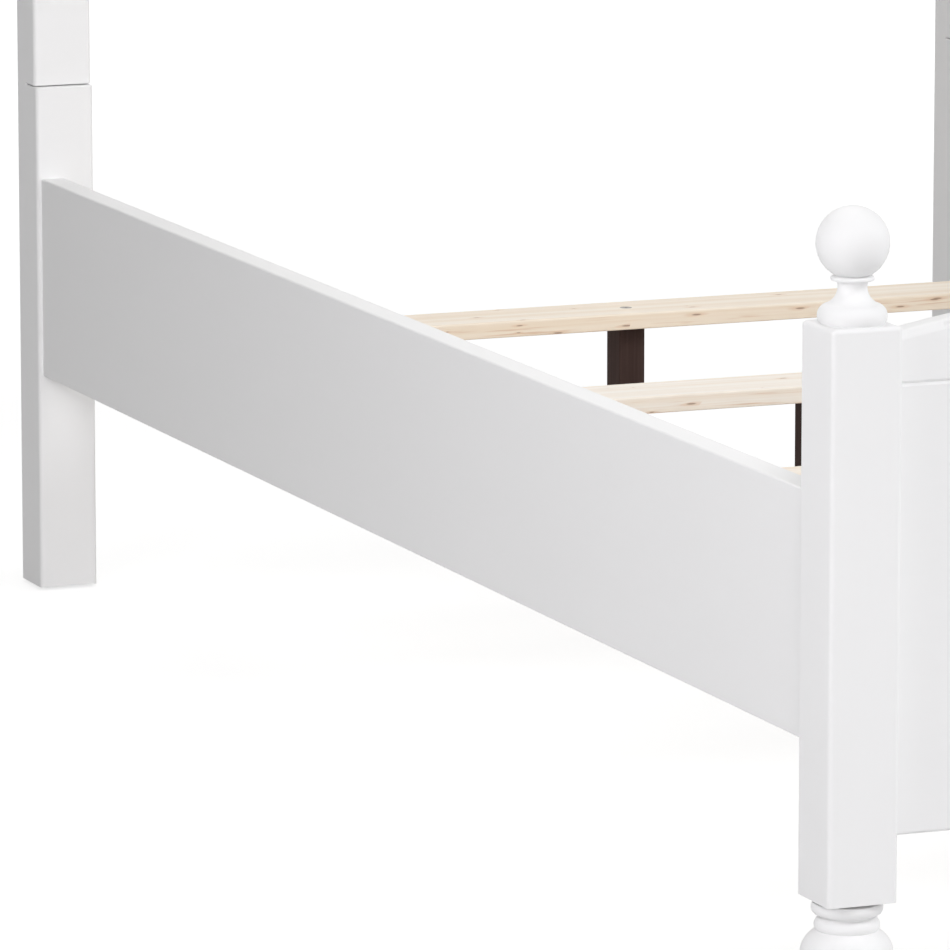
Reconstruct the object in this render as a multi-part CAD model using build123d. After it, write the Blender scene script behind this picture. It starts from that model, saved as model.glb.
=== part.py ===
from build123d import *
import math
import os

# Low-post bed with ball finials. Lengths are in millimetres. +X runs across the bed, the foot end
# lies towards -Y, the head end towards +Y, and the floor is Z = 0. Left is the -X side.

# Plan
bed_width = 1102.0              # over the outer faces of the posts
rail_length = 1905.0            # side rail, from head leg to foot post
post_side = 61.5                # square section of the legs and posts
post_round = 3.8                # rounding of their long edges and of a post's top

# Head leg and the head post that laps it
lap_shoulder = 523.2            # height of the leg's shoulder
lap_length = 120.0              # tongue above the shoulder
tongue_thick = 29.0             # tongue at the back of the leg
lap_gap = 1.0                   # open line over the shoulder
lap_round = 1.2                 # rounding of the edges along that line
head_post_setback = 6.0         # head post's front face behind the leg's
head_post_top = 1118.0

# Foot post
foot_post_base = 99.0           # underside of the square part
foot_post_top = 567.0

# Turned foot under the foot post, radii and heights of its members from the top down
foot_neck_radius = 15.0
foot_neck_height = 3.0
foot_disc_radius = 29.2
foot_disc_height = 10.0
foot_disc_edge = 1.4            # how far the disc's upper rim is rounded back
foot_disc_rim = 4.2             # height of that rim over the quarter round below
foot_disc_under = 6.4           # how far the quarter round runs in
foot_cove_radius = 21.6
foot_cove_height = 2.0
foot_cove_depth = 1.6
foot_bead_radius = 26.9
foot_bead_height = 10.4
foot_bead_widest = 4.4          # above the bead's underside
foot_bead_top_edge = 4.9        # how far its top is rounded back
foot_bead_low_edge = 1.6
foot_bulb_radius = 38.0
foot_bulb_round = 22.3          # radius of the bulb's section
foot_bulb_turn = 60.0           # degrees that its lower side turns under
foot_ankle_radius = 19.5
foot_toe_radius = 24.0
foot_toe_height = 9.0

# Ball finial on every post, heights above the post
finial_base_radius = 26.0
finial_bulge_radius = 28.2
finial_bulge_level = 6.4
finial_shoulder_radius = 20.4
finial_shoulder_level = 15.8
finial_cove_radius = 12.2       # near the middle of the coved neck
finial_cove_level = 26.4
finial_neck_radius = 12.7       # neck under the collar
finial_collar_radius = 17.8
finial_collar_level = 34.0
finial_collar_thick = 3.8
ball_seat_radius = 13.6
ball_radius = 29.7
ball_level = 64.5

# Headboard and footboard
board_thick = 28.0
crest_round = 7.0               # rounding of the crest's top edges
board_edge_round = 3.0          # rounding of the panel's lower edges
groove_line = 2.2               # chamfer on each side of the line between crest and panel
board_tongue_thick = 9.0
board_tongue_height = 8.0
footboard_low = 150.0
footboard_end_drop = 8.4        # from a post's top down to the crest's top edge at the post
footboard_crest_side = 41.0     # height of the crest's ends
footboard_rise = 46.0
headboard_low = 660.0
headboard_end_drop = 8.0
headboard_crest_side = 44.0
headboard_rise = 62.0

# Dowels between the boards and the posts
dowel_radius = 5.0
dowel_length = 50.0
panel_dowel_count = 3
panel_dowel_margin = 45.0       # from the panel's edges to the outer dowels

# Side rails
rail_low = 224.4
rail_depth = 204.6
rail_thick = 24.5
rail_round = 2.0
rail_inset = 5.0                # rail's outer face behind the posts' outer faces

# Slats and the cleats that carry them
slat_count = 4
slat_top = 300.0
slat_thick = 16.5
slat_width = 78.0
slat_round = 1.5
slat_margin = 246.0             # from a post to the nearest slat's middle line
slat_end_clear = 1.5
cleat_height = 38.0
cleat_thick = 25.0
cleat_round = 1.5
cleat_end_gap = 30.0
cleat_screw_count = 7
cleat_screw_margin = 60.0
cleat_screw_level = 10.0        # above the cleat's underside

# Support legs under the slats
leg_width = 28.0
leg_depth = 35.0
leg_round = 2.0
leg_low = 25.0                  # underside of the wooden leg

# Screw levellers in the support legs
stem_radius = 4.0
stem_above_collar = 35.0
collar_radius = 7.5
collar_height = 5.0
spigot_radius = 3.0
spigot_length = 5.0
pad_radius = 15.0
pad_top_radius = 9.0
pad_height = 8.0
pad_rim = 2.5
glide_travel = 10.0             # up and down from the drawn place
insert_radius = 6.5
insert_length = 12.0
insert_flange_radius = 9.5
insert_flange_thick = 1.5

# Nylon glides nailed under the four corner legs
floor_glide_radius = 16.0
floor_glide_thick = 3.0
nail_radius = 1.5
nail_length = 14.0

# Hook-on rail fasteners
plate_width = 15.0
plate_thick = 2.5
hook_plate_length = 130.0
slot_plate_length = 150.0
hook_spacing = 64.0
hook_thick = 2.5
hook_neck = 18.0                # height of the hook's neck
hook_drop = 12.0                # how far it hooks down behind the slotted plate
hook_depth = 6.0
hook_play = 0.2
slot_width = 3.6
slot_headroom = 1.0
pocket_width = 7.0
pocket_clear = 1.5

# Screws, bolts and studs
plate_screw_radius = 2.0
plate_screw_head_radius = 4.0
plate_screw_head_height = 2.2
plate_screw_length = 28.0
hook_screw_spread = 56.0        # from the plate's middle to the outer screws
slot_screw_spread = 66.0
slot_screw_offset = 6.5         # middle screw, between the two slots
cleat_screw_radius = 2.2
cleat_screw_head_radius = 4.4
cleat_screw_head_height = 2.4
cleat_screw_bite = 15.0         # into the rail
slat_screw_radius = 2.0
slat_screw_head_radius = 4.2
slat_screw_head_height = 2.4
slat_screw_bite = 18.0          # into the cleat
drive_slot_width = 1.1
drive_slot_depth = 1.2
leg_bolt_radius = 3.0
leg_bolt_head_radius = 6.2
leg_bolt_head_height = 3.4
leg_insert_radius = 5.0
leg_insert_length = 20.0
lap_bolt_radius = 4.0
lap_bolt_head_radius = 7.0
lap_bolt_head_height = 4.4
lap_bolt_socket = 2.5           # radius of the hexagon socket
lap_bolt_socket_depth = 2.6
lap_bolt_recess = 6.0
lap_bolt_low = 36.0             # lower bolt above the shoulder
lap_bolt_spacing = 50.0
lap_insert_radius = 6.0
lap_insert_length = 13.0
finial_stud_radius = 4.0
finial_stud_length = 56.0
foot_stud_radius = 5.0
foot_stud_length = 64.0

# Clearances
fit_clear = 0.1                 # round dowels, studs, screws and inserts
hole_end_clear = 0.5            # past the end of a blind hole's fastener
thread_clear = 0.05             # running fit of a leveller's stem
axial_clear = 0.1               # under a leveller's collar
recess_clear = 0.2              # round a plate let into wood
groove_clear = 0.3              # round a board's tongue
bolt_clear = 0.5                # round a bolt in its through hole

# Places worked out from the sizes above
SIDES = {"left": -1, "right": 1}
head_post_depth = post_side - head_post_setback
foot_overhang = max(foot_bulb_radius - post_side / 2, 0)
head_overhang = max(ball_radius - head_post_depth / 2, 0)
overall_length = foot_overhang + rail_length + 2 * post_side + head_overhang
foot_face_y = foot_overhang - overall_length / 2
foot_post_y = foot_face_y + post_side / 2
rail_foot_y = foot_face_y + post_side
rail_head_y = rail_foot_y + rail_length
rail_mid_y = (rail_foot_y + rail_head_y) / 2
head_leg_y = rail_head_y + post_side / 2
head_back_y = rail_head_y + post_side
head_post_y = head_back_y - head_post_depth / 2
post_x = (bed_width - post_side) / 2
rail_x = bed_width / 2 - rail_inset - rail_thick / 2
rail_mid_z = rail_low + rail_depth / 2
rail_inner_x = rail_x - rail_thick / 2
cleat_x = rail_inner_x - cleat_thick / 2
slat_low = slat_top - slat_thick
slat_pitch = (rail_length - 2 * slat_margin) / (slat_count - 1)
footboard_end = foot_post_top - footboard_end_drop
footboard_joint = footboard_end - footboard_crest_side
headboard_end = head_post_top - headboard_end_drop
headboard_joint = headboard_end - headboard_crest_side
board_length = bed_width - 2 * post_side
board_end_x = board_length / 2
slat_ys = [rail_foot_y + slat_margin + i * slat_pitch for i in range(slat_count)]
RAIL_ENDS = {"head": (rail_head_y, 0), "foot": (rail_foot_y, 180)}
STANDING = (Align.CENTER, Align.CENTER, Align.MIN)
HANGING = (Align.CENTER, Align.CENTER, Align.MAX)

# Shank radius, head radius, head height and length of each countersunk screw
plate_screw = (plate_screw_radius, plate_screw_head_radius, plate_screw_head_height, plate_screw_length)
cleat_screw = (
    cleat_screw_radius, cleat_screw_head_radius, cleat_screw_head_height, cleat_thick + cleat_screw_bite
)
slat_screw = (slat_screw_radius, slat_screw_head_radius, slat_screw_head_height, slat_thick + slat_screw_bite)
leg_bolt = (leg_bolt_radius, leg_bolt_head_radius, leg_bolt_head_height, slat_thick + leg_insert_length)

nodes = {}


def upright(width, depth, low, high, radius):
    """Standing bar of rectangular section with its long edges rounded."""
    section = Pos(0, 0, low) * RectangleRounded(width, depth, radius)
    return extrude(section, amount=high - low)


def post_shape(width, depth, low, high):
    """Post with its long edges and its top edges rounded alike."""
    post = Pos(0, 0, (low + high) / 2) * Box(width, depth, high - low)
    top_edges = post.faces().sort_by(Axis.Z)[-1].edges()
    return fillet(post.edges().filter_by(Axis.Z) + top_edges, post_round)


def round_end(post, last, radius):
    """The post with the edges of its top, or of its underside, rounded."""
    return fillet(post.faces().sort_by(Axis.Z)[last].edges(), radius)


def bar_along_x(length, depth, height, radius):
    section = Plane.YZ * RectangleRounded(depth, height, radius)
    return extrude(section, amount=length / 2, both=True)


def bar_along_y(length, width, height, radius):
    section = Plane.XZ * RectangleRounded(width, height, radius)
    return extrude(section, amount=length / 2, both=True)


def turned(profile):
    """Solid of revolution about Z from a list of lines and arcs in radius and height."""
    face = make_face(Curve() + profile)
    return revolve(Plane.XZ * face, axis=Axis.Z)


def peg(radius, low, high):
    return Pos(0, 0, low) * Cylinder(radius, high - low, align=STANDING)


def countersunk(shank_radius, head_radius, head_height, length, swell=0.0):
    """Countersunk screw pointing down from Z = 0. With swell it is the hole that takes the screw."""
    head = Cone(shank_radius + swell, head_radius + swell, head_height + swell, align=HANGING)
    return head + Cylinder(shank_radius + swell, length + swell, align=HANGING)


def driven_screw(shank_radius, head_radius, head_height, length):
    """Countersunk screw with a cross recess in its head."""
    arm = Box(head_radius, drive_slot_width, drive_slot_depth, align=HANGING)
    return countersunk(shank_radius, head_radius, head_height, length) - arm - Rot(0, 0, 90) * arm


def group(solids):
    return Compound(children=list(solids))


# Turned pieces

def finial_shape():
    """Swelling base, coved neck, collar and ball, standing on Z = 0."""
    seat_level = ball_level - math.sqrt(ball_radius ** 2 - ball_seat_radius ** 2)
    collar_top = finial_collar_level + finial_collar_thick
    collar_mid = finial_collar_level + finial_collar_thick / 2
    rim_radius = finial_collar_radius - finial_collar_thick / 2
    foot = (finial_base_radius, 0)
    shoulder = (finial_shoulder_radius, finial_shoulder_level)
    neck = (finial_neck_radius, finial_collar_level)
    rim_low = (rim_radius, finial_collar_level)
    rim_top = (rim_radius, collar_top)
    seat = (ball_seat_radius, seat_level)
    crown = (0, ball_level + ball_radius)
    profile = [
        Line((0, 0), foot),
        ThreePointArc(foot, (finial_bulge_radius, finial_bulge_level), shoulder),
        ThreePointArc(shoulder, (finial_cove_radius, finial_cove_level), neck),
        Line(neck, rim_low),
        ThreePointArc(rim_low, (finial_collar_radius, collar_mid), rim_top),
        Line(rim_top, seat),
        ThreePointArc(seat, (ball_radius, ball_level), crown),
        Line(crown, (0, 0)),
    ]
    stud_hole = peg(finial_stud_radius + fit_clear, 0, finial_stud_length / 2 + hole_end_clear)
    return turned(profile) - stud_hole


def foot_shape():
    """Turned foot: neck, disc, cove, bead, bulb, ankle and toe, in its place above the floor."""
    disc_top = foot_post_base - foot_neck_height
    disc_low = disc_top - foot_disc_height
    bead_top = disc_low - foot_cove_height
    bead_low = bead_top - foot_bead_height
    toe_top = floor_glide_thick + foot_toe_height
    disc_corner = foot_disc_radius - foot_disc_edge
    disc_side = (foot_disc_radius, disc_top - foot_disc_rim)
    disc_under = (foot_disc_radius - foot_disc_under, disc_low)
    bead_corner = foot_bead_radius - foot_bead_low_edge
    bead_side = (foot_bead_radius, bead_low + foot_bead_widest)
    bead_over = (foot_bead_radius - foot_bead_top_edge, bead_top)
    bulb_centre = foot_bulb_radius - foot_bulb_round
    bulb_level = bead_low - math.sqrt(foot_bulb_round ** 2 - (bead_corner - bulb_centre) ** 2)
    turn = math.radians(foot_bulb_turn)
    bulb_out_level = bulb_level - foot_bulb_round * math.sin(turn)
    bulb_out = (bulb_centre + foot_bulb_round * math.cos(turn), bulb_out_level)
    bulb_side = (foot_bulb_radius, bulb_level)
    ankle = (foot_ankle_radius, (toe_top + bulb_out_level) / 2)
    toe = (foot_toe_radius, toe_top)
    heel = (foot_toe_radius, floor_glide_thick)
    top = (foot_neck_radius, foot_post_base)
    neck = (foot_neck_radius, disc_top)
    groove = (bead_corner, bead_low)
    profile = [
        Line((0, floor_glide_thick), heel),
        Line(heel, toe),
        SagittaArc(toe, ankle, foot_cove_depth),
        SagittaArc(ankle, bulb_out, foot_cove_depth),
        ThreePointArc(bulb_out, bulb_side, groove),
        ThreePointArc(groove, bead_side, bead_over),
        ThreePointArc(bead_over, (foot_cove_radius, (bead_top + disc_low) / 2), disc_under),
        TangentArc(disc_side, disc_under, tangent=(0, -1)),
        TangentArc(disc_side, (disc_corner, disc_top), tangent=(0, 1)),
        Line((disc_corner, disc_top), neck),
        Line(neck, top),
        Line(top, (0, foot_post_base)),
        Line((0, foot_post_base), (0, floor_glide_thick)),
    ]
    half_stud = foot_stud_length / 2 + hole_end_clear
    stud_hole = peg(foot_stud_radius + fit_clear, foot_post_base - half_stud, foot_post_base)
    return turned(profile) - stud_hole - nail_hole(floor_glide_thick)


def nail_hole(low):
    return peg(nail_radius + fit_clear, low, low + nail_length + hole_end_clear)


def floor_glide():
    disc = peg(floor_glide_radius, 0, floor_glide_thick)
    rim = disc.edges().group_by(Axis.Z)[0]
    return chamfer(rim, floor_glide_thick / 3) + peg(nail_radius, 0, floor_glide_thick + nail_length)


# Rail fasteners, drawn at the rail's end with the post towards +Y

def plate_screw_places(spread, middle):
    return [-spread, middle, spread]


def hook_outline():
    """Side view of one hook, from the rail's end face into the post."""
    half = hook_neck / 2
    back = plate_thick + hook_play
    tip = back + hook_depth
    low = -half - hook_drop
    neck = [(back, -half), (-plate_thick, -half), (-plate_thick, half)]
    drop = [(tip, half), (tip, low), (back, low)]
    return Polygon(*neck, *drop, align=None)


def hook_plate():
    body = Pos(0, -plate_thick / 2, 0) * Box(plate_width, plate_thick, hook_plate_length)
    for z in plate_screw_places(hook_screw_spread, 0):
        body -= Pos(0, 0, z) * Rot(-90, 0, 0) * countersunk(*plate_screw, fit_clear)
    for z in (-hook_spacing / 2, hook_spacing / 2):
        body += Pos(0, 0, z) * extrude(Plane.YZ * hook_outline(), amount=hook_thick / 2, both=True)
    return body


def slot_plate():
    body = Pos(0, plate_thick / 2, 0) * Box(plate_width, plate_thick, slot_plate_length)
    for z in plate_screw_places(slot_screw_spread, slot_screw_offset):
        body -= Pos(0, 0, z) * Rot(90, 0, 0) * countersunk(*plate_screw, fit_clear)
    slot_height = hook_neck + hook_drop + slot_headroom
    for z in (-hook_spacing / 2, hook_spacing / 2):
        slot = Box(slot_width, plate_thick, slot_height, align=(Align.CENTER, Align.MIN, Align.MIN))
        body -= Pos(0, 0, z - hook_neck / 2) * slot
    return body


def hook_plate_seat():
    """What the hook plate and its screws take out of a rail's end."""
    depth = Box(plate_width + 2 * recess_clear, plate_thick, hook_plate_length + 2 * recess_clear)
    seat = Pos(0, -plate_thick / 2, 0) * depth
    for z in plate_screw_places(hook_screw_spread, 0):
        seat += Pos(0, 0, z) * Rot(-90, 0, 0) * countersunk(*plate_screw, fit_clear)
    return seat


def slot_plate_seat():
    """What the slotted plate, its screws and the hooks take out of a post."""
    recess = Box(plate_width + 2 * recess_clear, plate_thick, slot_plate_length + 2 * recess_clear)
    seat = Pos(0, plate_thick / 2, 0) * recess
    for z in plate_screw_places(slot_screw_spread, slot_screw_offset):
        seat += Pos(0, 0, z) * Rot(90, 0, 0) * countersunk(*plate_screw, fit_clear)
    pocket_depth = plate_thick + hook_play + hook_depth + pocket_clear
    low = -hook_neck / 2 - hook_drop - pocket_clear
    high = hook_neck / 2 + hook_drop + pocket_clear
    for z in (-hook_spacing / 2, hook_spacing / 2):
        pocket = Box(pocket_width, pocket_depth, high - low, align=(Align.CENTER, Align.MIN, Align.MIN))
        seat += Pos(0, 0, z + low) * pocket
    return seat


def at_rail_end(side, end):
    """Place of the fasteners at one end of one rail."""
    end_y, turn = RAIL_ENDS[end]
    return Pos(side * rail_x, end_y, rail_mid_z) * Rot(0, 0, turn)


# Dowels

def panel_dowel_levels(low, joint):
    span = joint - low - 2 * panel_dowel_margin
    return [low + panel_dowel_margin + i * span / (panel_dowel_count - 1) for i in range(panel_dowel_count)]


def dowel_levels(low, joint, end):
    """Heights of the dowels in one end of a board: its panel's, then its crest's."""
    return panel_dowel_levels(low, joint) + [(joint + end) / 2]


footboard_dowel_levels = dowel_levels(footboard_low, footboard_joint, footboard_end)
headboard_dowel_levels = dowel_levels(headboard_low, headboard_joint, headboard_end)


def dowel(side, y, z, swell=0.0, longer=0.0):
    rod = Rot(0, 90, 0) * Cylinder(dowel_radius + swell, dowel_length + 2 * longer)
    return Pos(side * board_end_x, y, z) * rod


def dowel_hole(side, y, z):
    return dowel(side, y, z, fit_clear, hole_end_clear)


# Head end

def lap_bolt_places(side):
    low = lap_shoulder + lap_bolt_low
    return [Pos(side * post_x, head_back_y, z) for z in (low, low + lap_bolt_spacing)]


def lap_bolt():
    """Button-head bolt pointing towards -Y from the back of the head leg."""
    grip = tongue_thick - lap_bolt_recess + lap_insert_length
    head = peg(lap_bolt_head_radius, 0, lap_bolt_head_height)
    head = fillet(head.edges().group_by(Axis.Z)[-1], lap_bolt_head_height / 2)
    socket = RegularPolygon(lap_bolt_socket, 6)
    socket = Pos(0, 0, lap_bolt_head_height - lap_bolt_socket_depth) * socket
    bolt = head - extrude(socket, amount=lap_bolt_socket_depth) + peg(lap_bolt_radius, -grip, 0)
    return Pos(0, -lap_bolt_recess, 0) * Rot(-90, 0, 0) * bolt


def lap_insert():
    sleeve = peg(lap_insert_radius, -lap_insert_length, 0)
    sleeve -= peg(lap_bolt_radius + thread_clear, -lap_insert_length, 0)
    return Pos(0, -tongue_thick, 0) * Rot(-90, 0, 0) * sleeve


def head_leg(side):
    leg = upright(post_side, post_side, floor_glide_thick, lap_shoulder, post_round)
    leg = round_end(leg, -1, lap_round)
    low = lap_shoulder - 2 * lap_round
    high = lap_shoulder + lap_length
    tongue = upright(post_side, post_side, low, high, post_round)
    notch_depth = post_side - tongue_thick
    tongue -= Pos(0, -tongue_thick / 2, low) * Box(post_side, notch_depth, high - low, align=STANDING)
    leg = Pos(side * post_x, head_leg_y, 0) * (leg + tongue)
    leg -= Pos(side * post_x, head_leg_y, 0) * nail_hole(floor_glide_thick)
    leg -= at_rail_end(side, "head") * slot_plate_seat()
    bolt_hole = peg(lap_bolt_radius + bolt_clear, -tongue_thick, 0)
    bolt_hole += peg(lap_bolt_head_radius + bolt_clear, -lap_bolt_recess, 0)
    for place in lap_bolt_places(side):
        leg -= place * Rot(-90, 0, 0) * bolt_hole
    return leg


def head_post(side):
    low = lap_shoulder + lap_gap
    post = round_end(post_shape(post_side, head_post_depth, low, head_post_top), 0, lap_round)
    post = Pos(side * post_x, head_post_y, 0) * post
    lap_height = lap_shoulder + lap_length - low
    tongue_room = Box(post_side, tongue_thick, lap_height, align=STANDING)
    post -= Pos(side * post_x, head_back_y - tongue_thick / 2, low) * tongue_room
    insert_hole = peg(lap_insert_radius + fit_clear, -lap_insert_length - hole_end_clear, 0)
    for place in lap_bolt_places(side):
        post -= place * Pos(0, -tongue_thick, 0) * Rot(-90, 0, 0) * insert_hole
    for z in headboard_dowel_levels:
        post -= dowel_hole(side, head_post_y, z)
    return post - Pos(side * post_x, head_post_y, head_post_top) * finial_stud_hole()


# Foot end

def finial_stud_hole():
    return peg(finial_stud_radius + fit_clear, -finial_stud_length / 2 - hole_end_clear, 0)


def foot_post(side):
    post = post_shape(post_side, post_side, foot_post_base, foot_post_top)
    post = Pos(side * post_x, foot_post_y, 0) * post
    half_stud = foot_stud_length / 2 + hole_end_clear
    stud_hole = peg(foot_stud_radius + fit_clear, foot_post_base, foot_post_base + half_stud)
    post -= Pos(side * post_x, foot_post_y, 0) * stud_hole
    post -= Pos(side * post_x, foot_post_y, foot_post_top) * finial_stud_hole()
    post -= at_rail_end(side, "foot") * slot_plate_seat()
    for z in footboard_dowel_levels:
        post -= dowel_hole(side, foot_post_y, z)
    return post


# Boards

def crest(y, joint, end, rise, levels):
    """Upper board with an arched top, grooved below for the panel's tongue."""
    outline = [
        Line((-board_end_x, joint), (board_end_x, joint)),
        Line((board_end_x, joint), (board_end_x, end)),
        ThreePointArc((board_end_x, end), (0, end + rise), (-board_end_x, end)),
        Line((-board_end_x, end), (-board_end_x, joint)),
    ]
    board = extrude(Plane.XZ * make_face(Curve() + outline), amount=board_thick / 2, both=True)
    top_edges = board.edges().filter_by(GeomType.CIRCLE)
    board = fillet(top_edges, min(crest_round, board_thick / 2 - 1))
    low_edges = board.edges().filter_by(Axis.X).group_by(Axis.Z)[0]
    board = chamfer(low_edges, groove_line)
    width = board_tongue_thick + 2 * groove_clear
    groove = Box(board_length, width, board_tongue_height + groove_clear, align=STANDING)
    board -= Pos(0, 0, joint) * groove
    board = Pos(0, y, 0) * board
    for side in SIDES.values():
        board -= dowel_hole(side, y, levels[-1])
    return board


def panel(y, low, joint, levels):
    """Lower board with a tongue along its top edge."""
    board = Pos(0, 0, (low + joint) / 2) * Box(board_length, board_thick, joint - low)
    board = fillet(board.edges().filter_by(Axis.X).group_by(Axis.Z)[0], board_edge_round)
    board = chamfer(board.edges().filter_by(Axis.X).group_by(Axis.Z)[-1], groove_line)
    tongue = Box(board_length, board_tongue_thick, board_tongue_height, align=STANDING)
    board = Pos(0, y, 0) * (board + Pos(0, 0, joint) * tongue)
    for side in SIDES.values():
        for z in levels[:-1]:
            board -= dowel_hole(side, y, z)
    return board


# Rails, cleats and slats

def cleat_screw_ys():
    span = rail_length - 2 * cleat_end_gap - 2 * cleat_screw_margin
    return [rail_mid_y - span / 2 + i * span / (cleat_screw_count - 1) for i in range(cleat_screw_count)]


def cleat_screw_place(side, y):
    """At the cleat's inner face, pointing out into the rail."""
    level = slat_low - cleat_height + cleat_screw_level
    return Pos(side * (rail_inner_x - cleat_thick), y, level) * Rot(0, -90 * side, 0)


def slat_screw_places(side):
    return [Pos(side * cleat_x, y, slat_top) for y in slat_ys]


def side_rail(side):
    rail = bar_along_y(rail_length, rail_thick, rail_depth, rail_round)
    rail = Pos(side * rail_x, rail_mid_y, rail_mid_z) * rail
    for end in RAIL_ENDS:
        rail -= at_rail_end(side, end) * hook_plate_seat()
    for y in cleat_screw_ys():
        rail -= cleat_screw_place(side, y) * countersunk(*cleat_screw, fit_clear)
    return rail


def slat_cleat(side):
    cleat = bar_along_y(rail_length - 2 * cleat_end_gap, cleat_thick, cleat_height, cleat_round)
    cleat = Pos(side * cleat_x, rail_mid_y, slat_low - cleat_height / 2) * cleat
    for y in cleat_screw_ys():
        cleat -= cleat_screw_place(side, y) * countersunk(*cleat_screw, fit_clear)
    for place in slat_screw_places(side):
        cleat -= place * countersunk(*slat_screw, fit_clear)
    return cleat


def slat(index):
    y = slat_ys[index]
    length = 2 * (rail_inner_x - slat_end_clear)
    board = Pos(0, y, (slat_low + slat_top) / 2) * bar_along_x(length, slat_width, slat_thick, slat_round)
    for side in SIDES.values():
        board -= slat_screw_places(side)[index] * countersunk(*slat_screw, fit_clear)
    return board - Pos(0, y, slat_top) * countersunk(*leg_bolt, fit_clear)


# Support legs and their levellers

def leg_top_insert(y):
    sleeve = peg(leg_insert_radius, slat_low - leg_insert_length, slat_low)
    sleeve -= peg(leg_bolt_radius + thread_clear, slat_low - leg_insert_length, slat_low)
    return Pos(0, y, 0) * sleeve


def glide_insert(y):
    """Threaded insert with a flange, let into the underside of a support leg."""
    sleeve = peg(insert_radius, leg_low, leg_low + insert_length)
    sleeve += peg(insert_flange_radius, leg_low, leg_low + insert_flange_thick)
    return Pos(0, y, 0) * (sleeve - peg(stem_radius + thread_clear, leg_low, leg_low + insert_length))


def support_leg(y):
    leg = upright(leg_width, leg_depth, leg_low, slat_low, leg_round)
    leg -= peg(leg_insert_radius + fit_clear, slat_low - leg_insert_length - hole_end_clear, slat_low)
    leg -= peg(insert_radius + fit_clear, leg_low, leg_low + insert_length + hole_end_clear)
    leg -= peg(insert_flange_radius + fit_clear, leg_low, leg_low + insert_flange_thick)
    stem_room = stem_top() + glide_travel + hole_end_clear
    leg -= peg(stem_radius + bolt_clear, leg_low, stem_room)
    return Pos(0, y, 0) * leg


def collar_low():
    return pad_height + axial_clear


def stem_top():
    return collar_low() + collar_height + stem_above_collar


def glide_stem(y):
    """Leveller's stem: spigot in the pad, six-sided collar for a spanner, and plain shank."""
    collar = extrude(Pos(0, 0, collar_low()) * RegularPolygon(collar_radius, 6), amount=collar_height)
    stem = collar + peg(spigot_radius, pad_height - spigot_length, collar_low())
    return Pos(0, y, 0) * (stem + peg(stem_radius, collar_low(), stem_top()))


def glide_pad(y):
    """Round pad with a bored top that turns on the stem's spigot."""
    profile = [
        Line((0, 0), (pad_radius, 0)),
        Line((pad_radius, 0), (pad_radius, pad_rim)),
        Line((pad_radius, pad_rim), (pad_top_radius, pad_height)),
        Line((pad_top_radius, pad_height), (0, pad_height)),
        Line((0, pad_height), (0, 0)),
    ]
    bore = peg(spigot_radius + thread_clear, pad_height - spigot_length - axial_clear, pad_height)
    return Pos(0, y, 0) * (turned(profile) - bore)


# The bed, node by node

finial = finial_shape()
finial_stud = Cylinder(finial_stud_radius, finial_stud_length)
turned_foot = foot_shape()
foot_stud = Pos(0, 0, foot_post_base) * Cylinder(foot_stud_radius, foot_stud_length)
finial_places = {}
glide_places = []

for name, side in SIDES.items():
    nodes[f"head_leg_{name}"] = head_leg(side)
    nodes[f"head_post_{name}"] = head_post(side)
    nodes[f"foot_post_{name}"] = foot_post(side)
    nodes[f"turned_foot_{name}"] = Pos(side * post_x, foot_post_y, 0) * turned_foot
    nodes[f"side_rail_{name}"] = side_rail(side)
    nodes[f"slat_cleat_{name}"] = slat_cleat(side)
    finial_places[f"head_finial_{name}"] = Pos(side * post_x, head_post_y, head_post_top)
    finial_places[f"foot_finial_{name}"] = Pos(side * post_x, foot_post_y, foot_post_top)
    glide_places += [Pos(side * post_x, head_leg_y, 0), Pos(side * post_x, foot_post_y, 0)]
    for end in RAIL_ENDS:
        nodes[f"rail_hook_{name}_{end}"] = at_rail_end(side, end) * hook_plate()
        nodes[f"post_slot_plate_{name}_{end}"] = at_rail_end(side, end) * slot_plate()

for name, place in finial_places.items():
    nodes[name] = place * finial

nodes["headboard_crest"] = crest(
    head_post_y, headboard_joint, headboard_end, headboard_rise, headboard_dowel_levels
)
nodes["headboard_panel"] = panel(head_post_y, headboard_low, headboard_joint, headboard_dowel_levels)
nodes["footboard_crest"] = crest(
    foot_post_y, footboard_joint, footboard_end, footboard_rise, footboard_dowel_levels
)
nodes["footboard_panel"] = panel(foot_post_y, footboard_low, footboard_joint, footboard_dowel_levels)

for i, y in enumerate(slat_ys):
    nodes[f"slat_{i + 1}"] = slat(i)
    nodes[f"support_leg_{i + 1}"] = support_leg(y)
    nodes[f"glide_stem_{i + 1}"] = glide_stem(y)
    nodes[f"glide_pad_{i + 1}"] = glide_pad(y)

sides = SIDES.values()
corners = [at_rail_end(side, end) for side in sides for end in RAIL_ENDS]
lap_places = [place for side in sides for place in lap_bolt_places(side)]
nodes["finial_studs"] = group(place * finial_stud for place in finial_places.values())
nodes["foot_studs"] = group(Pos(side * post_x, foot_post_y, 0) * foot_stud for side in sides)
nodes["floor_glides"] = group(place * floor_glide() for place in glide_places)
nodes["headboard_dowels"] = group(
    dowel(side, head_post_y, z) for side in sides for z in headboard_dowel_levels
)
nodes["footboard_dowels"] = group(
    dowel(side, foot_post_y, z) for side in sides for z in footboard_dowel_levels
)
nodes["lap_bolts"] = group(place * lap_bolt() for place in lap_places)
nodes["lap_inserts"] = group(place * lap_insert() for place in lap_places)
nodes["hook_plate_screws"] = group(
    corner * Pos(0, 0, z) * Rot(-90, 0, 0) * driven_screw(*plate_screw)
    for corner in corners
    for z in plate_screw_places(hook_screw_spread, 0)
)
nodes["slot_plate_screws"] = group(
    corner * Pos(0, 0, z) * Rot(90, 0, 0) * driven_screw(*plate_screw)
    for corner in corners
    for z in plate_screw_places(slot_screw_spread, slot_screw_offset)
)
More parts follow.
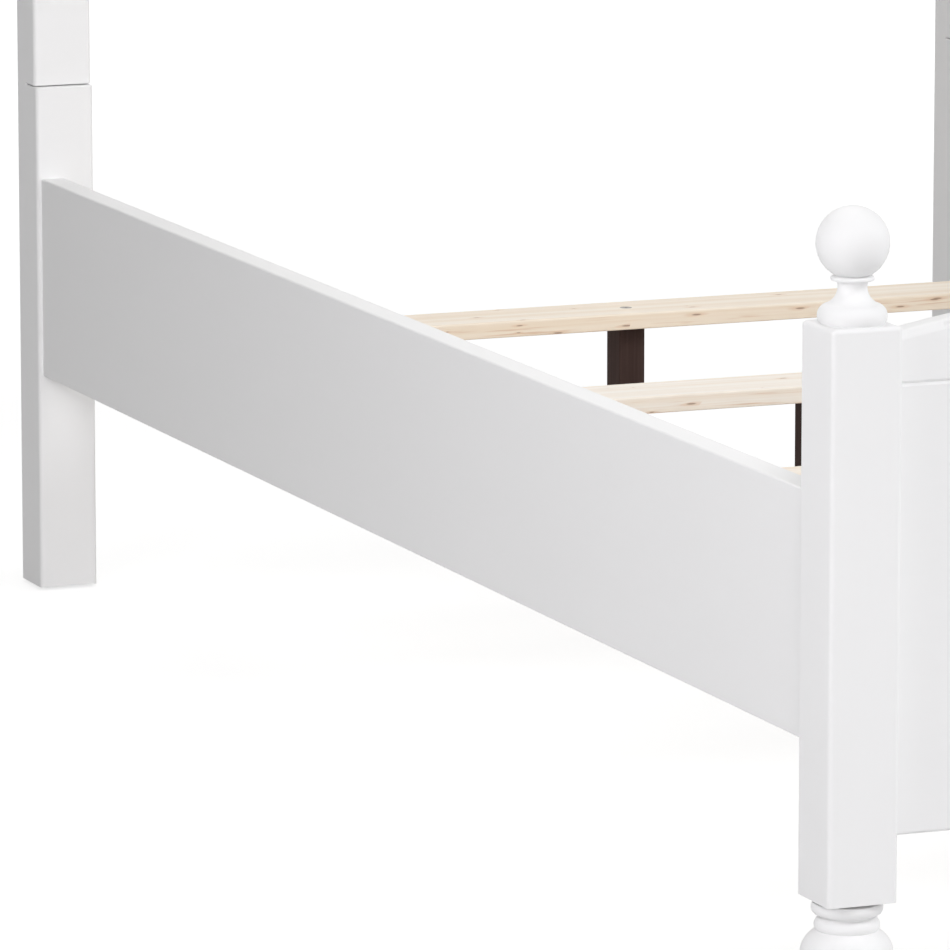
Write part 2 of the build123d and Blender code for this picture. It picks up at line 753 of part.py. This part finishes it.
nodes["cleat_screws"] = group(
    cleat_screw_place(side, y) * driven_screw(*cleat_screw) for side in sides for y in cleat_screw_ys()
)
nodes["slat_screws"] = group(
    place * driven_screw(*slat_screw) for side in sides for place in slat_screw_places(side)
)
nodes["support_leg_bolts"] = group(Pos(0, y, slat_top) * driven_screw(*leg_bolt) for y in slat_ys)
nodes["leg_top_inserts"] = group(leg_top_insert(y) for y in slat_ys)
nodes["glide_inserts"] = group(glide_insert(y) for y in slat_ys)

os.makedirs("parts", exist_ok=True)
for name, shape in nodes.items():
    export_step(shape, f"parts/{name}.step")
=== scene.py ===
import math

import bpy
from mathutils import Matrix, Vector


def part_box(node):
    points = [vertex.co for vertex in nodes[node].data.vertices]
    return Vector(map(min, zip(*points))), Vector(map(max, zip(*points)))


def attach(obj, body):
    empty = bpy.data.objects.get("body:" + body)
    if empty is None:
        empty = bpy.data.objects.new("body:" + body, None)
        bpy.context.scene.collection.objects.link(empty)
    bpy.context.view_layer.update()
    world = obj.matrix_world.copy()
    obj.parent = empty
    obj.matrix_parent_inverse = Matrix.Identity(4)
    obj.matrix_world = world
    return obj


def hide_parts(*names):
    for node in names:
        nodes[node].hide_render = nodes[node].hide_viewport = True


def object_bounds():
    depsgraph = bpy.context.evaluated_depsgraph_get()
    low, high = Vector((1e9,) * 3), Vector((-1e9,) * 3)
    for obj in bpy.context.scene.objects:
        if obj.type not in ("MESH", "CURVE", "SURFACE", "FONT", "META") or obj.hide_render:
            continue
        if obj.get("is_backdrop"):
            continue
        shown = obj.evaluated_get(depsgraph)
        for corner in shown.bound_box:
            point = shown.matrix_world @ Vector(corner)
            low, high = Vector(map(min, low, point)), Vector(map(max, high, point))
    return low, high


# Low-post bed with ball finials. Metres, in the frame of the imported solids: +X across the bed,
# the foot end towards -Y, the head end towards +Y, the floor at Z = 0.

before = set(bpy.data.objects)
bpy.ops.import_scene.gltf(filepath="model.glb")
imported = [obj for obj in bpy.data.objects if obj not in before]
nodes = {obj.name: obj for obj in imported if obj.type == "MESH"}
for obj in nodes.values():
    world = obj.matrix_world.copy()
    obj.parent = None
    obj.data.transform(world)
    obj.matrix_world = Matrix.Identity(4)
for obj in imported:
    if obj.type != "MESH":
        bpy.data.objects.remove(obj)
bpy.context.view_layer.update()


def colour(red, green, blue):
    """Opaque colour for a socket."""
    return (red, green, blue, 1.0)


# Tones of the finishes, from the darker to the lighter
PAINT_TONES = (colour(0.866, 0.865, 0.865), colour(0.876, 0.875, 0.875))
STAIN_TONES = (colour(0.044, 0.026, 0.022), colour(0.062, 0.038, 0.033))
BEECH_TONES = (colour(0.52, 0.34, 0.2), colour(0.68, 0.49, 0.32))
STEEL_TONES = (colour(0.56, 0.56, 0.55), colour(0.74, 0.75, 0.76))
AGED_STEEL_TONES = (colour(0.3, 0.27, 0.24), colour(0.44, 0.4, 0.36))
NYLON_TONES = (colour(0.012, 0.012, 0.013), colour(0.024, 0.024, 0.025))

# Pine: early and late wood of pale and of warm boards
SAPWOOD = ((0.97, 0.925, 0.86), (0.93, 0.85, 0.75))
HEARTWOOD = ((0.975, 0.885, 0.765), (0.905, 0.78, 0.625))

# What lies over the pine: strength and tint. The edges are tinted darker and more orange than the upper
# face, partly their own edge grain and partly painted shade; the edges of warm boards take more of theirs.
PINE_EDGE_GRAIN_AND_SHADE = (0.2, colour(0.84, 0.675, 0.49))
WARM_EDGE_GRAIN_AND_SHADE = 0.36
PINE_LINE = (0.38, colour(0.79, 0.59, 0.42))
PINE_STREAK = (0.6, colour(0.66, 0.4, 0.23))
PINE_HALO = (0.4, colour(0.72, 0.47, 0.29))
PINE_KNOT = (0.74, colour(0.3, 0.17, 0.105))

# Pine pattern: waves per metre along the grain and across it
SWAY_WAVES = (2.6, 11.0)
BROAD_WAVES = (0.9, 70.0)
FINE_WAVES = (2.4, 330.0)
STREAK_WAVES = (13.0, 240.0)
KNOT_WAVES = (26.0, 90.0)
SWAY_WIDTH = 0.012              # how far the grain lines wander
EDGE_SPREAD = 1.7               # pattern used up per metre down a board's edge
EDGE_LEVELS = (-0.0005, -0.003)     # heights between which the upper face turns into the edge
FACE_STREAKS = 0.2              # streaks on the upper face, as a share of those on the edges
KNOT_CHANCE = (0.88, 1.06)      # draws of a cell from which a knot starts, and at which it is largest
EDGE_KNOTS = 0.14               # added to the draws on the edges
KNOT_SIZE = 0.18                # largest knot, as a share of its cell
KNOT_CORE = 0.4                 # darkest part, as a share of the knot
KNOT_HALO = 2.6                 # stained wood round it, as a share of the knot

# Slats: 0 is all sapwood, 1 all heartwood. The steps move each slat to its own part of the pattern.
SLAT_WARMTH = {1: 0.6, 2: 0.5, 3: 0.06, 4: 0.8}
SLAT_STEP_ALONG = 0.83
SLAT_STEP_ACROSS = 0.37
CLEAT_WARMTH = 0.5
CLEAT_SHIFT = 0.4
BOARDS = ("headboard_crest", "headboard_panel", "footboard_crest", "footboard_panel")

# Leveller stems. Lows, highs and tops are heights above the floor.
STEM_COUNT = 4
STEM_RADIUS = 0.004
STEM_TOP = 0.0481
THREAD_PITCH = 0.00125
THREAD_STEPS = 36               # faces round one turn
THREAD_SPARE = 3                # turns made beyond its length, then cut away
THREAD_MERGE = 0.00001          # points closer than this become one
COLLAR_SIDES = 6
COLLAR_RADIUS = 0.0075
COLLAR_LOW = 0.0081
COLLAR_HIGH = 0.0131
COLLAR_BEVEL = 0.0006
SPIGOT_SIDES = 48
SPIGOT_RADIUS = 0.003
SPIGOT_LOW = 0.003
SPIGOT_BEVEL = 0.0004
STEM_OVERLAP = 0.0005           # how far thread and spigot reach into the collar
BEVEL_SEGMENTS = 3
SMOOTH_ANGLE = math.radians(35)

# Stage
FLOOR_SIZE = 160.0
FLOOR_BOUNCE = 0.65             # grey that sends light back up to the bed
FLOOR_SHADOW = 0.4              # grey that takes the bed's shadow in the picture
FLOOR_GLOW = 0.72               # own light under the bed, and how much more there is far away
FLOOR_GLOW_RISE = 0.26
FLOOR_GLOW_REACH = (1.5, 6.0)   # distances between which it rises
WORLD_FILL = 0.2

# Softboxes: place, target, size, watts and tint
SOFTBOXES = {
    "head_box": ((-0.3, 1.4, 4.2), (0.0, 0.9, 0.3), 3.0, 46.0, (1.0, 0.982, 0.95)),
    "back_box": ((0.3, 3.8, 3.8), (0.0, 1.0, 0.6), 2.4, 28.0, (1.0, 1.0, 1.0)),
    "right_box": ((3.6, -2.0, 2.4), (0.0, 0.0, 0.4), 2.2, 66.0, (0.98, 0.983, 1.0)),
    "right_high_box": ((2.4, -3.4, 4.0), (0.0, 0.0, 0.4), 2.2, 71.5, (0.982, 0.992, 1.0)),
    "left_high_box": ((-2.6, -3.2, 3.6), (-0.3, -0.5, 0.4), 1.6, 19.0, (0.99, 0.98, 1.0)),
    "left_box": ((-2.4, -1.2, 1.3), (-0.5, -0.7, 0.4), 1.2, 19.7, (0.985, 0.978, 1.0)),
    "front_box": ((-2.2, -7.4, 2.0), (0.0, 0.0, 0.4), 2.0, 140.0, (1.0, 0.987, 0.998)),
}

# Camera, fitted to the photograph's edges
CAMERA_PLACE = (-3.0433, -6.4823, 1.5373)
CAMERA_YAW = 21.804             # degrees from +Y towards +X
CAMERA_PITCH = 10.248           # degrees below the horizon
CAMERA_LENS = 292.57            # mm
CAMERA_SENSOR = 36.0            # mm
CAMERA_CLIP = 200.0


class Wire:
    """A socket of a finish. Arithmetic on it adds Math nodes."""

    def __init__(self, finish, socket):
        self.finish = finish
        self.socket = socket

    def math(self, operation, first, second):
        return self.finish.node("ShaderNodeMath", {"operation": operation}, {0: first, 1: second})

    def __add__(self, other):
        return self.math("ADD", self, other)

    def __sub__(self, other):
        return self.math("SUBTRACT", self, other)

    def __rsub__(self, other):
        return self.math("SUBTRACT", other, self)

    def __mul__(self, other):
        return self.math("MULTIPLY", self, other)

    __radd__ = __add__
    __rmul__ = __mul__


class Nodes:
    """A node tree, with one method that adds any node."""

    def __init__(self, tree):
        self.tree = tree

    def feed(self, socket, value):
        if isinstance(value, Wire):
            self.tree.links.new(value.socket, socket)
        else:
            socket.default_value = value

    def node(self, kind, settings=None, inputs=None, output=0):
        made = self.tree.nodes.new(kind)
        for key, value in (settings or {}).items():
            setattr(made, key, value)
        for key, value in (inputs or {}).items():
            self.feed(made.inputs[key], value)
        return Wire(self, made.outputs[output])

    def other(self, wire, output):
        """Another output of the node that a wire comes from."""
        return Wire(self, wire.socket.node.outputs[output])

    def seen(self):
        """1 for a ray from the camera, a reflection or through glass, 0 for other light."""
        camera_ray = self.node("ShaderNodeLightPath", output="Is Camera Ray")
        mirrored = camera_ray.math("MAXIMUM", camera_ray, self.other(camera_ray, "Is Glossy Ray"))
        return camera_ray.math("MAXIMUM", mirrored, self.other(camera_ray, "Is Transmission Ray"))


class Finish(Nodes):
    """A material made of nodes that end in its Principled shader."""

    def __init__(self, name):
        self.material = bpy.data.materials.new(name)
        self.material.use_nodes = True
        super().__init__(self.material.node_tree)
        self.shader = self.tree.nodes["Principled BSDF"]
        self.place = self.node("ShaderNodeTexCoord", output="Object")

    def noise(self, where, scale=1.0, detail=2.0, roughness=0.5):
        """Soft noise from 0 to 1."""
        return self.node(
            "ShaderNodeTexNoise",
            inputs={"Vector": where, "Scale": scale, "Detail": detail, "Roughness": roughness},
        )

    def grain(self, axis, along, across, detail=2.0):
        """Noise drawn out along one axis, with so many waves per metre along it and across it."""
        waves = tuple(along if letter == axis else across for letter in "xyz")
        where = self.node("ShaderNodeVectorMath", {"operation": "MULTIPLY"}, {0: self.place, 1: waves})
        return self.noise(where, detail=detail)

    def split(self, shift):
        """The three object coordinates, moved."""
        moved = self.node("ShaderNodeVectorMath", {"operation": "ADD"}, {0: self.place, 1: shift})
        x = self.node("ShaderNodeSeparateXYZ", inputs={0: moved})
        return x, self.other(x, 1), self.other(x, 2)

    def plane(self, run, across, waves):
        """Point of a flat pattern with so many waves per metre each way."""
        along_waves, across_waves = waves
        return self.node("ShaderNodeCombineXYZ", inputs={0: run * along_waves, 1: across * across_waves})

    def band(self, value, low, high):
        """0 below low, 1 above high, smooth between. It falls where low is above high."""
        return self.node(
            "ShaderNodeMapRange",
            {"interpolation_type": "SMOOTHSTEP"},
            {"Value": value, "From Min": low, "From Max": high},
        )

    def mix(self, share, first, second):
        """Colour from first to second as share goes from 0 to 1."""
        return self.node("ShaderNodeMix", {"data_type": "RGBA"}, {0: share, 6: first, 7: second}, output=2)

    def bump(self, height, distance):
        return self.node(
            "ShaderNodeBump", inputs={"Height": height, "Distance": distance, "Strength": 1.0}
        )

    def surface(self, inputs):
        for key, value in inputs.items():
            self.feed(self.shader.inputs[key], value)
        return self.material


def white_paint(axis):
    """Satin white paint over solid wood whose grain runs along one axis."""
    finish = Finish(f"white_paint_{axis}")
    film = finish.noise(finish.place, scale=620.0)
    grain = finish.grain(axis, along=7.0, across=240.0, detail=3.0)
    coat = finish.grain(axis, along=3.0, across=9.0)
    shade = finish.band(coat * 0.8 + grain * 0.2, low=0.3, high=0.7)
    return finish.surface(
        {
            "Base Color": finish.mix(shade, *PAINT_TONES),
            "Roughness": 0.5 + coat * 0.12,
            "Specular IOR Level": 0.3,
            "Normal": finish.bump(film * 0.4 + grain * 0.6, distance=0.00003),
        }
    )


def between(first, second, share):
    """Colour part of the way from first to second."""
    return colour(*(a + (b - a) * share for a, b in zip(first, second)))


def pine(name, axis, shift, warm):
    """Planed pine: pale wood with straw-coloured grain along one axis, orange streaks and brown knots.

    The moved coordinates have the board's upper face at Z = 0. The pattern is unfolded from that face
    down the board's edges, so that the grain lines stay as wide there. Warm goes from 0, all sapwood,
    to 1, all heartwood.
    """
    finish = Finish(name)
    x, y, z = finish.split(shift)
    run, side = (x, y) if axis == "x" else (y, x)
    across = side + z * EDGE_SPREAD
    edge = finish.band(z, *EDGE_LEVELS)
    sway = finish.noise(finish.plane(run, across, SWAY_WAVES))
    bent = across + (sway - 0.5) * SWAY_WIDTH
    broad = finish.noise(finish.plane(run, bent, BROAD_WAVES))
    fine = finish.noise(finish.plane(run, bent, FINE_WAVES), detail=3.0, roughness=0.6)
    resin = finish.noise(finish.plane(run, bent, STREAK_WAVES))
    line = finish.band(fine, low=0.5, high=0.78)
    streak = finish.band(resin, low=0.55, high=0.74) * (FACE_STREAKS + edge * (1.0 - FACE_STREAKS))

    # A few cells of a flat pattern hold a knot, more of them on the edges
    cells = finish.node(
        "ShaderNodeTexVoronoi",
        {"voronoi_dimensions": "2D"},
        {"Vector": finish.plane(run, across, KNOT_WAVES), "Scale": 1.0},
        output="Distance",
    )
    chance = finish.node("ShaderNodeSeparateColor", inputs={0: finish.other(cells, "Color")})
    size = finish.band(chance + edge * EDGE_KNOTS, *KNOT_CHANCE) * KNOT_SIZE
    knot = finish.band(cells, low=size, high=size * KNOT_CORE)
    halo = finish.band(cells, low=size * KNOT_HALO, high=size)

    early, late = (between(*pair, warm) for pair in zip(SAPWOOD, HEARTWOOD))
    wood = finish.mix(finish.band(broad, low=0.34, high=0.66), early, late)
    # Edges darker and more orange than the upper face: partly edge grain, partly painted shade
    edge_grain_and_shade_strength, edge_grain_and_shade_tint = PINE_EDGE_GRAIN_AND_SHADE
    wood = finish.mix(edge * (edge_grain_and_shade_strength + WARM_EDGE_GRAIN_AND_SHADE * warm), wood, edge_grain_and_shade_tint)
    layers = ((line, PINE_LINE), (streak, PINE_STREAK), (halo, PINE_HALO), (knot, PINE_KNOT))
    for share, (strength, tint) in layers:
        wood = finish.mix(share * strength, wood, tint)
    return finish.surface(
        {
            "Base Color": wood,
            "Roughness": 0.64 - line * 0.08,
            "Normal": finish.bump(fine * 0.6 - knot * 0.4, distance=0.0001),
        }
    )


def dark_stain():
    """Dark brown stain on the support legs, with the grain upright."""
    finish = Finish("dark_stain")
    grain = finish.grain("z", along=9.0, across=310.0, detail=3.0)
    cloud = finish.grain("z", along=6.0, across=22.0)
    tone = finish.band(grain * 0.6 + cloud * 0.4, low=0.32, high=0.68)
    return finish.surface(
        {
            "Base Color": finish.mix(tone, *STAIN_TONES),
            "Roughness": 0.72 - cloud * 0.1,
            "Specular IOR Level": 0.06,
            "Normal": finish.bump(grain, distance=0.00008),
        }
    )


def beech():
    """Bare dowel stock."""
    finish = Finish("beech")
    fleck = finish.grain("x", along=60.0, across=900.0)
    return finish.surface(
        {
            "Base Color": finish.mix(fleck, *BEECH_TONES),
            "Roughness": 0.6 + fleck * 0.1,
            "Normal": finish.bump(fleck, distance=0.00008),
        }
    )


def zinc(name, tones):
    """Zinc-plated steel with a faint spangle."""
    finish = Finish(name)
    spangle = finish.noise(finish.place, scale=260.0)
    scuff = finish.noise(finish.place, scale=1500.0)
    return finish.surface(
        {
            "Base Color": finish.mix(spangle, *tones),
            "Metallic": 1.0,
            "Roughness": 0.28 + spangle * 0.12 + scuff * 0.08,
            "Normal": finish.bump(scuff, distance=0.00002),
        }
    )


def nylon():
    """Black moulded nylon with a matt grain."""
    finish = Finish("nylon")
    grain = finish.noise(finish.place, scale=1900.0)
    bloom = finish.noise(finish.place, scale=90.0)
    return finish.surface(
        {
            "Base Color": finish.mix(bloom, *NYLON_TONES),
            "Roughness": 0.46 + bloom * 0.14,
            "Normal": finish.bump(grain, distance=0.00005),
        }
    )


def dress(piece, material):
    """Gives a piece one material."""
    slots = piece.data.materials
    slots.clear()
    slots.append(material)


# Finishes of the nodes
paint = {axis: white_paint(axis) for axis in "xyz"}
steel = zinc("zinc", STEEL_TONES)
aged_steel = zinc("aged_zinc", AGED_STEEL_TONES)
black_nylon = nylon()
brown_leg = dark_stain()
dowel_wood = beech()


def slat_wood(name, number):
    """Pine along X, with its own part of the pattern and its own warmth."""
    low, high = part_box(name)
    middle = (low.y + high.y) / 2
    shift = (SLAT_STEP_ALONG * number, SLAT_STEP_ACROSS * number - middle, -high.z)
    return pine(f"pine_{name}", "x", shift, SLAT_WARMTH[number])


def cleat_wood(name):
    """Pine along Y."""
    low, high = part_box(name)
    middle = (low.x + high.x) / 2
    return pine(f"pine_{name}", "y", (-middle, CLEAT_SHIFT, -high.z), CLEAT_WARMTH)


def finish_of(name):
    """Material of a node, by its name."""
    kind, _, ending = name.rpartition("_")
    if kind == "slat" and ending.isdigit():
        return slat_wood(name, int(ending))
    if kind == "slat_cleat":
        return cleat_wood(name)
    if kind == "support_leg" and ending.isdigit():
        return brown_leg
    if kind == "glide_pad" or name == "floor_glides":
        return black_nylon
    if ending == "dowels":
        return dowel_wood
    if name in BOARDS:
        return paint["x"]
    if kind == "side_rail":
        return paint["y"]
    if name.startswith(("head_", "foot_post", "foot_finial", "turned_foot")):
        return paint["z"]
    if name in ("slat_screws", "support_leg_bolts"):
        return aged_steel
    return steel


for name, piece in nodes.items():
    dress(piece, finish_of(name))


# Leveller stems: a cut thread, a spanner collar with its corners taken off, and the spigot in the pad


def start_piece():
    """Leaves nothing selected, so that the next piece is worked on by itself."""
    bpy.ops.object.select_all(action="DESELECT")


def apply_modifier(kind, **settings):
    """Adds a modifier to the active object, sets it up and applies it."""
    piece = bpy.context.object
    bpy.ops.object.modifier_add(type=kind)
    modifier = piece.modifiers[-1]
    for key, value in settings.items():
        setattr(modifier, key, value)
    bpy.ops.object.modifier_apply(modifier=modifier.name)


def pick_points(test):
    """Selects the active mesh's points that pass a test on their place, and leaves it in edit mode."""
    bpy.ops.object.mode_set(mode="EDIT")
    bpy.ops.mesh.select_mode(type="VERT")
    bpy.ops.mesh.select_all(action="DESELECT")
    bpy.ops.object.mode_set(mode="OBJECT")
    for point in bpy.context.object.data.vertices:
        point.select = test(point.co)
    bpy.ops.object.mode_set(mode="EDIT")


def bar(sides, radius, low, high, edge, turn=0.0):
    """Upright bar about the Z axis with its rims bevelled."""
    start_piece()
    bpy.ops.mesh.primitive_cylinder_add(
        vertices=sides,
        radius=radius,
        depth=high - low,
        location=(0, 0, (low + high) / 2),
        rotation=(0, 0, turn),
    )
    bpy.ops.object.transform_apply(location=True, rotation=True, scale=True)
    apply_modifier("BEVEL", width=edge, segments=BEVEL_SEGMENTS, limit_method="ANGLE")
    return bpy.context.object


def thread(low, high):
    """Screw thread about the Z axis, cut flat at both ends."""
    start_piece()
    depth = THREAD_PITCH / 2
    root = STEM_RADIUS - depth
    bpy.ops.mesh.primitive_circle_add(
        vertices=4, radius=depth, location=(root, 0, low - THREAD_PITCH), rotation=(math.pi / 2, 0, 0)
    )
    bpy.ops.object.transform_apply(location=True, rotation=True, scale=True)
    pick_points(lambda place: place.x < root - depth / 2)
    bpy.ops.mesh.delete(type="VERT")
    bpy.ops.object.mode_set(mode="OBJECT")
    turns = math.ceil((high - low) / THREAD_PITCH) + THREAD_SPARE
    apply_modifier(
        "SCREW",
        screw_offset=THREAD_PITCH,
        iterations=turns,
        steps=THREAD_STEPS,
        render_steps=THREAD_STEPS,
        use_merge_vertices=True,
        merge_threshold=THREAD_MERGE,
    )
    for level, side in ((low, -1), (high, 1)):
        bpy.ops.object.mode_set(mode="EDIT")
        bpy.ops.mesh.select_all(action="SELECT")
        bpy.ops.mesh.bisect(plane_co=(0, 0, level), plane_no=(0, 0, side), use_fill=True, clear_outer=True)
        bpy.ops.object.mode_set(mode="OBJECT")
    return bpy.context.object


def leveller_stem():
    """Thread, collar and spigot joined about the Z axis."""
    screw = thread(COLLAR_HIGH - STEM_OVERLAP, STEM_TOP)
    collar = bar(
        COLLAR_SIDES, COLLAR_RADIUS, COLLAR_LOW, COLLAR_HIGH, COLLAR_BEVEL, turn=math.pi / COLLAR_SIDES
    )
    spigot = bar(SPIGOT_SIDES, SPIGOT_RADIUS, SPIGOT_LOW, COLLAR_LOW + STEM_OVERLAP, SPIGOT_BEVEL)
    start_piece()
    for piece in (screw, collar, spigot):
        piece.select_set(True)
    bpy.context.view_layer.objects.active = screw
    bpy.ops.object.join()
    bpy.ops.object.mode_set(mode="EDIT")
    bpy.ops.mesh.select_all(action="SELECT")
    bpy.ops.mesh.normals_make_consistent(inside=False)
    bpy.ops.object.mode_set(mode="OBJECT")
    bpy.ops.object.shade_smooth_by_angle(angle=SMOOTH_ANGLE)
    dress(screw, steel)
    return screw


first_stem = leveller_stem()
plain_mesh = first_stem.data.copy()
for number in range(1, STEM_COUNT + 1):
    node = f"glide_stem_{number}"
    low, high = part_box(node)
    stem = first_stem
    if number > 1:
        stem = first_stem.copy()
        stem.data = plain_mesh.copy()
        bpy.context.scene.collection.objects.link(stem)
    stem.name = f"leveller_stem_{number}"
    stem.data.transform(Matrix.Translation((0, (low.y + high.y) / 2, 0)))
    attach(stem, node)
    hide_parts(node)


# Stage


def pale_floor():
    """White floor. The camera sees it near white, with the bed's shadow kept."""
    finish = Finish("pale_floor")
    tree = finish.tree
    seen = finish.seen()
    reach = finish.node("ShaderNodeVectorMath", {"operation": "LENGTH"}, {0: finish.place}, output="Value")
    level = FLOOR_GLOW + finish.band(reach, *FLOOR_GLOW_REACH) * FLOOR_GLOW_RISE
    bounce = finish.node("ShaderNodeBsdfDiffuse", inputs={"Color": colour(*[FLOOR_BOUNCE] * 3)})
    shadow = finish.node("ShaderNodeBsdfDiffuse", inputs={"Color": colour(*[FLOOR_SHADOW] * 3)})
    glow = finish.node("ShaderNodeEmission", inputs={"Color": colour(1, 1, 1), "Strength": level})
    shown = finish.node("ShaderNodeAddShader", inputs={0: shadow, 1: glow})
    both = finish.node("ShaderNodeMixShader", inputs={0: seen, 1: bounce, 2: shown})
    tree.links.new(both.socket, tree.nodes["Material Output"].inputs["Surface"])
    return finish.material


start_piece()
bpy.ops.mesh.primitive_plane_add(size=FLOOR_SIZE, location=(0, 0, 0))
floor = bpy.context.object
floor.name = "floor"
dress(floor, pale_floor())
floor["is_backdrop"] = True


def studio_world(fill):
    """White surround to the camera and in reflections, and a soft fill light to the rest."""
    world = bpy.data.worlds.new("studio")
    world.use_nodes = True
    surround = Nodes(world.node_tree)
    level = fill + surround.seen() * (1.0 - fill)
    background = world.node_tree.nodes["Background"]
    surround.feed(background.inputs["Color"], colour(1, 1, 1))
    surround.feed(background.inputs["Strength"], level)
    bpy.context.scene.world = world


def softbox(name, place, target, size, watts, tint):
    """Square area lamp aimed at a point."""
    lamp = bpy.data.lights.new(name, "AREA")
    lamp.shape = "SQUARE"
    lamp.size = size
    lamp.energy = watts
    lamp.color = tint
    holder = bpy.data.objects.new(name, lamp)
    bpy.context.scene.collection.objects.link(holder)
    holder.location = place
    aim = Vector(place) - Vector(target)
    holder.rotation_euler = aim.to_track_quat("Z", "Y").to_euler()


studio_world(WORLD_FILL)
for name, settings in SOFTBOXES.items():
    softbox(name, *settings)

camera = bpy.data.objects.new("camera", bpy.data.cameras.new("camera"))
bpy.context.scene.collection.objects.link(camera)
camera.location = CAMERA_PLACE
camera.rotation_euler = (math.radians(90 - CAMERA_PITCH), 0, math.radians(-CAMERA_YAW))
camera.data.lens = CAMERA_LENS
camera.data.sensor_width = CAMERA_SENSOR
camera.data.clip_end = CAMERA_CLIP
bpy.context.scene.camera = camera
bpy.context.scene.view_settings.view_transform = "Standard"

low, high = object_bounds()
